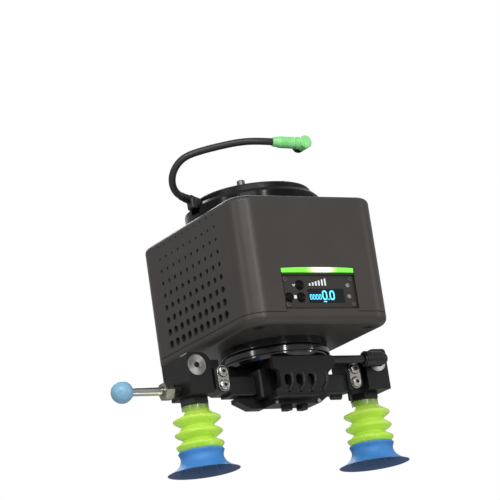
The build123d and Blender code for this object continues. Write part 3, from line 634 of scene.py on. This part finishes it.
def add_plug(line):
    """The angled plug: ribbed sleeve, round head and a knurled nut on its leg."""
    start = line[-1]
    along_cable = (line[-1] - line[-3]).normalized()
    end = start + along_cable * mm(24)
    shape = bmesh.new()
    body = [(0, 0), (3.0, 0), (3.4, 0.6), (3.9, 4.0), (4.2, 5.0)]
    for i in range(6):
        rise = 5.6 + 1.3 * i
        body += [(4.3, rise), (4.3, rise + 0.7), (4.0, rise + 0.85), (4.0, rise + 1.15)]
    body += [(4.3, 13.6), (4.3, 16.4), (3.7, 16.9), (3.7, 17.9), (4.5, 18.4), (4.5, 24.0), (0, 24.0)]
    turned(shape, body, start, along_cable, 48, closed=False)
    head = [(0, -5.0), (3.4, -5.0), (3.6, -4.7), (4.2, -4.7), (4.8, -4.1), (4.8, 2.8), (4.3, 3.6), (0, 3.6)]
    turned(shape, head, end, BACK, 56, closed=False, outline=faceted)
    plug = add_piece("plug_body", shape, "housing", "connector_green")
    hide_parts("cable_connector")
    ring = bmesh.new()
    nut = [(0, 3.6), (4.2, 3.6), (4.6, 4.2), (4.6, 8.2), (4.2, 8.8), (0, 8.8)]
    turned(ring, nut, end, BACK, 144, closed=False, outline=knurled)
    return plug, add_piece("plug_nut", ring, "housing", "dark_screw")


# ------------------------------------------------------------- suction cups
CUP_X = 72.0
VALLEY_WALL = 1.5
CREST_WALL = 1.9
CREST_FROM = 15.0
# (radius, height) points from the top down: the bellows' collar and three folds, then the lip
BELLOWS_OUTSIDE = [
    (9.7, -155.1), (9.8, -157.2), (9.7, -159.2),
    (13.2, -161.6), (16.7, -163.6), (17.3, -164.8), (16.6, -166.0), (13.6, -167.8), (11.1, -169.6),
    (13.6, -171.4), (16.6, -173.2), (17.3, -174.4), (16.6, -175.6), (13.6, -177.3), (11.1, -179.0),
    (13.6, -180.6), (16.6, -182.0), (17.3, -183.2), (16.6, -184.4), (14.8, -186.7),
]
LIP_OUTSIDE = [
    (6.2, -186.9), (15.3, -186.9), (16.2, -187.2), (16.6, -188.1), (15.9, -189.4), (15.3, -191.2),
    (15.4, -193.2), (16.1, -195.3), (17.6, -197.4), (20.1, -199.5), (23.3, -201.2), (25.95, -202.2),
]
LIP_INSIDE = [
    (25.2, -202.25), (22.2, -201.4), (18.8, -200.0), (16.1, -197.9), (14.0, -195.0), (12.0, -189.8),
    (6.2, -189.6),
]
RIB_COUNT = 8
RIB_PATH = [(13.6, -194.6), (16.0, -198.0), (19.2, -200.3)]
RIB_RADII = (0.7, 0.9, 0.6)


def add_bellows(side, name):
    """A cup's bellows, in one fixed shape; the real ones shorten with the cup's stroke from their top end.
    """
    outside = smoothed(BELLOWS_OUTSIDE)
    inside = []
    for radius, height in outside:
        inside.append((radius - (VALLEY_WALL if radius < CREST_FROM else CREST_WALL), height))
    shape = bmesh.new()
    turned(shape, outside + inside[::-1], mm(side * CUP_X, 0, 0), UP, 96)
    piece = add_piece(f"{name}_bellows_skin", shape, f"{name}_yoke", "bellows_green", smooth=60)
    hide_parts(f"{name}_bellows")
    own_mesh(piece)
    return piece


def add_lip(side, name):
    """A cup's lip, with ribs round its inside."""
    shape = bmesh.new()
    base = mm(side * CUP_X, 0, 0)
    turned(shape, smoothed(LIP_OUTSIDE, 1) + smoothed(LIP_INSIDE, 1), base, UP, 112)
    for index in range(RIB_COUNT):
        angle = 2 * math.pi * (index + 0.5) / RIB_COUNT
        away = Vector((math.cos(angle), math.sin(angle), 0))
        rib = [base + away * mm(radius) + mm(0, 0, height) for radius, height in RIB_PATH]
        sleeve(shape, rib, [mm(radius) for radius in RIB_RADII], mm(HAIR_BORE), 10)
    piece = add_piece(f"{name}_lip_skin", shape, f"{name}_lip", "lip_blue", smooth=50)
    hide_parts(f"{name}_lip")
    return piece


# ------------------------------------------------------------ panel details
# The fronts of the panel and of the cover, and the height of the panel's lower edge
PANEL_Y = -71.2
COVER_Y = -72.5
PANEL_BOTTOM = -103.3
PRINT_DEPTH = 0.12
READOUT_DEPTH = 0.18


def add_readout():
    """Generic digits on the display: 0.0 over a dash, and four small zeros."""
    shape = bmesh.new()
    front = PANEL_Y - READOUT_DEPTH
    back = PANEL_Y - 0.02
    for x in (3.7, 9.9):
        outside = rounded_outline(x, -93.8, 2.15, 3.5, 2.8)
        inside = rounded_outline(x, -93.8, 1.15, 2.4, 2.8)
        rim(shape, outside, inside, front, back)
    plate(shape, rounded_outline(6.8, -96.7, 0.5, 0.5, 3, 12), front, back)
    for index in range(4):
        x = -7.8 + 2.5 * index
        outside = rounded_outline(x, -95.0, 0.95, 1.9, 5)
        inside = rounded_outline(x, -95.0, 0.52, 1.45, 5)
        rim(shape, outside, inside, front, back)
    bar(shape, (2.3, -98.4), (5.0, -98.4), 0.35, front, back)
    add_piece("display_readout", shape, "housing", "display", finish="readout")


def add_panel_marks():
    """Plain strokes by the keys, and a level scale above the display."""
    shape = bmesh.new()
    front = PANEL_Y - PRINT_DEPTH
    back = PANEL_Y + 0.05
    bar(shape, (-21.9, -85.6), (-20.8, -87.2), 0.30, front, back)
    bar(shape, (-20.8, -87.2), (-19.9, -85.6), 0.30, front, back)
    plate(shape, rounded_outline(-20.8, -94.9, 1.15, 1.25, 6, 20), front, back)
    for index in range(6):
        x = -7.4 + 2.6 * index
        plate(shape, rounded_outline(x, -85.9 + 0.35 * index, 0.7, 0.9 + 0.35 * index, 5, 20), front, back)
    add_piece("panel_marks", shape, "housing", "panel_black", finish="print_white")


def add_key_rims():
    """A raised rim on the panel round each key, and a ring on the key's own cap."""
    for key in ("key_upper", "key_lower_left", "key_lower_right"):
        low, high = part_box(key)
        centre = (low + high) / 2
        shape = bmesh.new()
        base = Vector((centre.x, mm(PANEL_Y), centre.z))
        ring = [(2.8, 0.1), (2.8, -0.45), (3.1, -0.62), (3.5, -0.5), (3.75, 0.1)]
        turned(shape, ring, base, BACK, 40)
        add_piece(f"{key}_rim", shape, "housing", "panel_black", finish="key_black")
        cap = bmesh.new()
        face = Vector((centre.x, low.y, centre.z))
        turned(cap, [(1.9, 0.05), (1.9, -0.18), (1.55, -0.18), (1.2, 0.05)], face, BACK, 32)
        add_piece(f"{key}_ring", cap, key, "key_black")


def box_outline(across, upright, spread):
    """Four corners of a box seen from the front, each moved out by spread."""
    left, right = across[0] - spread, across[1] + spread
    bottom, top = upright[0] - spread, upright[1] + spread
    return [(left, bottom), (right, bottom), (right, top), (left, top)]


def add_cover_trim():
    """A dark strip of painted shade round the panel, where its gap is, and the rims of the panel's screws.
    """
    low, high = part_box("led_bar")
    across = (in_mm(low.x), in_mm(high.x))
    upright = (PANEL_BOTTOM, in_mm(low.z) - 0.5)
    # painted shade: a dark strip just in front of the cover, round the panel, for the shade in its gap
    gap_shade_strip = bmesh.new()
    outside = box_outline(across, upright, 0.4)
    inside = box_outline(across, upright, -0.1)
    rim(gap_shade_strip, outside, inside, COVER_Y - 0.04, COVER_Y + 0.3)
    add_piece("panel_gap_shade", gap_shade_strip, "housing", "panel_black", finish="key_black")
    shape = bmesh.new()
    for x in (-27.4, 27.4):
        for z in (-81.7, -100.2):
            ring = [(1.78, 0.05), (1.78, -0.1), (2.0, -0.14), (2.25, 0.05)]
            turned(shape, ring, mm(x, PANEL_Y, z), BACK, 28)
    add_piece("panel_screw_rims", shape, "housing", "panel_black", finish="panel_black")


# ------------------------------------------------------------- head details
# The fronts of the clip and of the lock plates, and the hose's way into the elbow
CLIP_FACE = -36.0
LOCK_PLATE_Y = -17.2
HOSE_Y = -25.0
HOSE_Z = -129.0


def add_clip_relief():
    """Hooked ridges under the clip's slots, and the bead along its lower edge."""
    shape = bmesh.new()
    for index in range(4):
        x = 9.6 * (index - 1.5)
        ridge = [
            (x + 3.7, -139.8), (x + 4.4, -143.4), (x + 3.9, -147.0),
            (x + 1.6, -150.4), (x - 1.6, -153.4), (x - 3.2, -154.6),
        ]
        line = [mm(across, CLIP_FACE + 0.5, height) for across, height in smoothed(ridge)]
        last = len(line) - 1
        swell = [math.sin(math.pi * min(1.0, 0.15 + 0.85 * i / last)) for i in range(len(line))]
        sleeve(shape, line, [mm(0.5 + 0.9 * share) for share in swell], mm(HAIR_BORE), 14)
    bead = [(-24.2, -156.6), (-12.0, -156.8), (8.0, -156.6), (13.0, -155.3), (17.6, -151.4)]
    line = [mm(across, CLIP_FACE + 0.4, height) for across, height in smoothed(bead)]
    sleeve(shape, line, [mm(0.85)] * len(line), mm(HAIR_BORE), 14)
    add_piece("clip_relief", shape, "head", "grip_black", smooth=60)


def add_hose_clamp():
    """Two rings where the hose enters the elbow."""
    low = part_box("hose_elbow")[0]
    base = Vector((low.x, mm(HOSE_Y), mm(HOSE_Z)))
    shape = bmesh.new()
    for start in (0.9, 3.6):
        ring = [
            (4.2, start), (5.75, start + 0.2), (5.95, start + 0.9), (5.75, start + 1.6), (4.2, start + 1.8)
        ]
        turned(shape, ring, base, RIGHT, 44)
    add_piece("elbow_rings", shape, "right_arm", "fitting_black", smooth=50)


def hexagon(x, z, reach):
    """The corners of a hexagon with one straight to the right of its middle."""
    turns = [math.pi * k / 3 for k in range(6)]
    return [(x + reach * math.cos(turn), z + reach * math.sin(turn)) for turn in turns]


def add_pivot_face(side, name):
    """Turned rings on a pivot pin's disc, and a flat dark hexagon over its middle as painted shade for a
    socket.
    """
    face = in_mm(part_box(f"{name}_pivot_pin")[0].y)
    x = side * PIN_X
    base = mm(x, face, PIN_Z)
    shape = bmesh.new()
    turned(shape, [(2.5, 0.1), (2.6, -0.12), (3.1, -0.16), (3.4, 0.1)], base, BACK, 40)
    turned(shape, [(6.3, 0.1), (6.5, -0.10), (6.9, -0.10), (7.1, 0.1)], base, BACK, 64)
    add_piece(f"{name}_pivot_rings", shape, f"{name}_arm", "bright_steel", finish="disc_steel")
    # painted shade: a flat dark hexagon, just in front of the disc, for the shade in a socket
    socket = bmesh.new()
    plate(socket, hexagon(x, PIN_Z, 2.3), face - 0.04, face + 0.2)
    add_piece(f"{name}_pivot_socket_shade", socket, f"{name}_arm", "bright_steel", finish="dark_screw")


def add_lock_faces(name):
    """A rim round each of an arm's two lock screws, and a flat dark hexagon in it as painted shade for its
    socket.
    """
    low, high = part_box(f"{name}_lock_screws")
    middle = in_mm((low.x + high.x) / 2)
    reach = (high.x - low.x) / 2
    radius = in_mm(reach)
    front = in_mm(low.y)
    ring = [(radius - 0.1, 0.05), (radius - 0.1, -0.25), (radius + 0.25, -0.2), (radius + 0.4, 0.05)]
    rims = bmesh.new()
    socket_shades = bmesh.new()
    for height in (in_mm(high.z - reach), in_mm(low.z + reach)):
        turned(rims, ring, mm(middle, LOCK_PLATE_Y, height), BACK, 40)
        # painted shade: a flat dark hexagon for the shade in each screw's socket
        plate(socket_shades, hexagon(middle, height, 1.45), front + 0.35, front + 0.6)
    add_piece(f"{name}_lock_rims", rims, f"{name}_arm", "bright_steel", finish="dark_screw")
    add_piece(f"{name}_lock_socket_shades", socket_shades, f"{name}_arm", "bright_steel", finish="dark_screw")


# ------------------------------------------------------------ stage and light
FLOOR_HEIGHT = -1.4
LIGHT_AIM = (0, 0, -0.09)
# Name, place, width and height, power
LIGHTS = [
    ("key_light", (-0.9, -1.2, 0.8), (0.8, 0.8), 12),
    ("corner_strip", (-0.22, -1.45, 0.32), (0.07, 1.2), 8),
    ("left_strip", (-1.5, -0.35, 0.25), (0.12, 0.9), 3),
    ("right_strip", (1.2, -0.9, 0.0), (0.10, 0.6), 2),
    ("low_light", (0.26, -0.33, -0.68), (0.18, 0.10), 0.25),
    ("back_light", (0.4, 1.2, 0.8), (0.9, 0.9), 7),
]


def soft_light(name, place, aim, size, power):
    """A soft box at a place, turned towards its aim."""
    light = bpy.data.lights.new(name, "AREA")
    light.shape = "RECTANGLE"
    light.size, light.size_y = size
    light.energy = power
    holder = bpy.data.objects.new(name, light)
    holder.location = place
    holder.rotation_euler = (Vector(aim) - Vector(place)).to_track_quat("-Z", "Y").to_euler()
    scene.collection.objects.link(holder)


def studio_world():
    """A white backdrop, and softer light that falls off towards the floor."""
    world = bpy.data.worlds.new("studio")
    world.use_nodes = True
    tree = world.node_tree
    backdrop = tree.nodes["Background"]
    backdrop.inputs["Color"].default_value = (1, 1, 1, 1)
    source = tree.nodes.new("ShaderNodeTexCoord")
    split = tree.nodes.new("ShaderNodeSeparateXYZ")
    tree.links.new(source.outputs["Generated"], split.inputs["Vector"])
    height = graded(tree, split.outputs["Z"], 0.0, 1.0, -1.0, 1.0)
    tone = ramp(
        tree,
        height,
        (0.25, (0.03, 0.03, 0.03)),
        (0.45, (0.10, 0.10, 0.10)),
        (0.54, (0.40, 0.40, 0.41)),
        (0.75, (0.45, 0.45, 0.46)),
        (1.0, (0.34, 0.34, 0.35)),
    )
    studio = tree.nodes.new("ShaderNodeBackground")
    tree.links.new(tone, studio.inputs["Color"])
    path = tree.nodes.new("ShaderNodeLightPath")
    seen = calculated(tree, "MAXIMUM", path.outputs["Is Camera Ray"], path.outputs["Is Transmission Ray"])
    mix = tree.nodes.new("ShaderNodeMixShader")
    tree.links.new(seen, mix.inputs[0])
    tree.links.new(studio.outputs[0], mix.inputs[1])
    tree.links.new(backdrop.outputs[0], mix.inputs[2])
    tree.links.new(mix.outputs[0], tree.nodes["World Output"].inputs["Surface"])
    return world


def build_stage():
    """The floor, the world, the colour view and the lights."""
    shape = bmesh.new()
    bmesh.ops.create_grid(shape, x_segments=8, y_segments=8, size=8.0)
    mesh = bpy.data.meshes.new("floor")
    shape.to_mesh(mesh)
    shape.free()
    mesh.materials.append(coated("floor", (0.84, 0.84, 0.83), (0.6, 0.8), 60, 0.05, spread=0.02, edge=0.0))
    floor = bpy.data.objects.new("floor", mesh)
    floor.location = (0, 0, FLOOR_HEIGHT)
    scene.collection.objects.link(floor)
    scene.world = studio_world()
    scene.view_settings.view_transform = "Standard"
    for name, place, size, power in LIGHTS:
        soft_light(name, place, LIGHT_AIM, size, power)


# --------------------------------------------------------------------- build
OWN_FINISH = {"left_pivot_pin": "disc_steel", "right_pivot_pin": "disc_steel", "lever_nut": "nut_steel"}


def finish_nodes():
    """Each CAD node takes its slot's finish, or its own."""
    for entry in frame["record"]["subparts"]:
        node = frame["nodes"][entry["node"]]
        finish = finishes[OWN_FINISH.get(entry["node"], entry["material_slot"])]
        if not node.material_slots:
            node.data.materials.append(finish)
        for place in node.material_slots:
            place.material = finish


add_camera()
finishes = build_finishes()
cable = add_cable()
line = centreline(cable)
relief = add_strain_relief(line)
plug, nut = add_plug(line)
finish_nodes()
for side, name in SIDES:
    add_bellows(side, name)
    add_lip(side, name)
add_readout()
add_panel_marks()
add_key_rims()
add_cover_trim()
add_clip_relief()
add_hose_clamp()
for side, name in SIDES:
    add_pivot_face(side, name)
    add_lock_faces(name)
build_stage()
